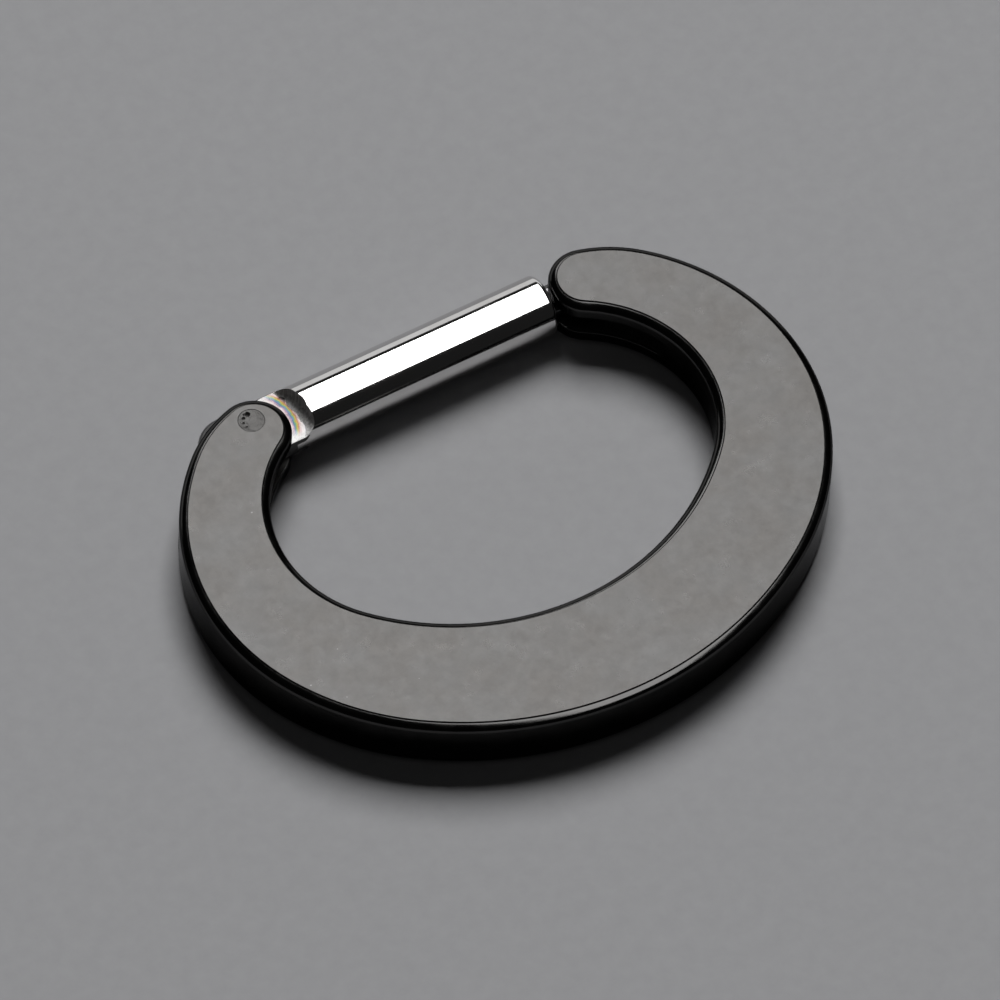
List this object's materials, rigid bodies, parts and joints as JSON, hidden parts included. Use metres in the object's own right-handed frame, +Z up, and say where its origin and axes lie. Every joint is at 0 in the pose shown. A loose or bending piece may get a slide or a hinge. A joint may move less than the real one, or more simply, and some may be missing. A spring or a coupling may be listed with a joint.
{
  "type": "hinged clicker ring",
  "caption": "Flat D-shaped ring closed by a round bar that swings open on a hinge pin and snaps into the far tip.",
  "frame": {"origin": "middle of the object's footprint, on the plane of the underside", "axes": "+X along the closed bar from the hinge to the latch, +Y from the ring's bow to the bar, +Z up out of the flat face"},
  "size_m": [0.0126, 0.0092, 0.0012],
  "materials": {
    "black_coating": "satin black vapour-deposited coating on steel",
    "polished_steel": "mirror polished steel",
    "black_pin": "coated steel pin, ground flush"
  },
  "bodies": {
    "frame": {"ring_frame": "black_coating", "hinge_pin": "black_pin"},
    "gate": {"gate_bar": "polished_steel"}
  },
  "joints": [
    {"name": "gate_hinge", "type": "hinge", "parent": "frame", "child": "gate", "pos_m": [-0.00351, 0.00401, 0.0006], "axis": [0, 0, 1], "range_deg": [0, 135]}
  ]
}
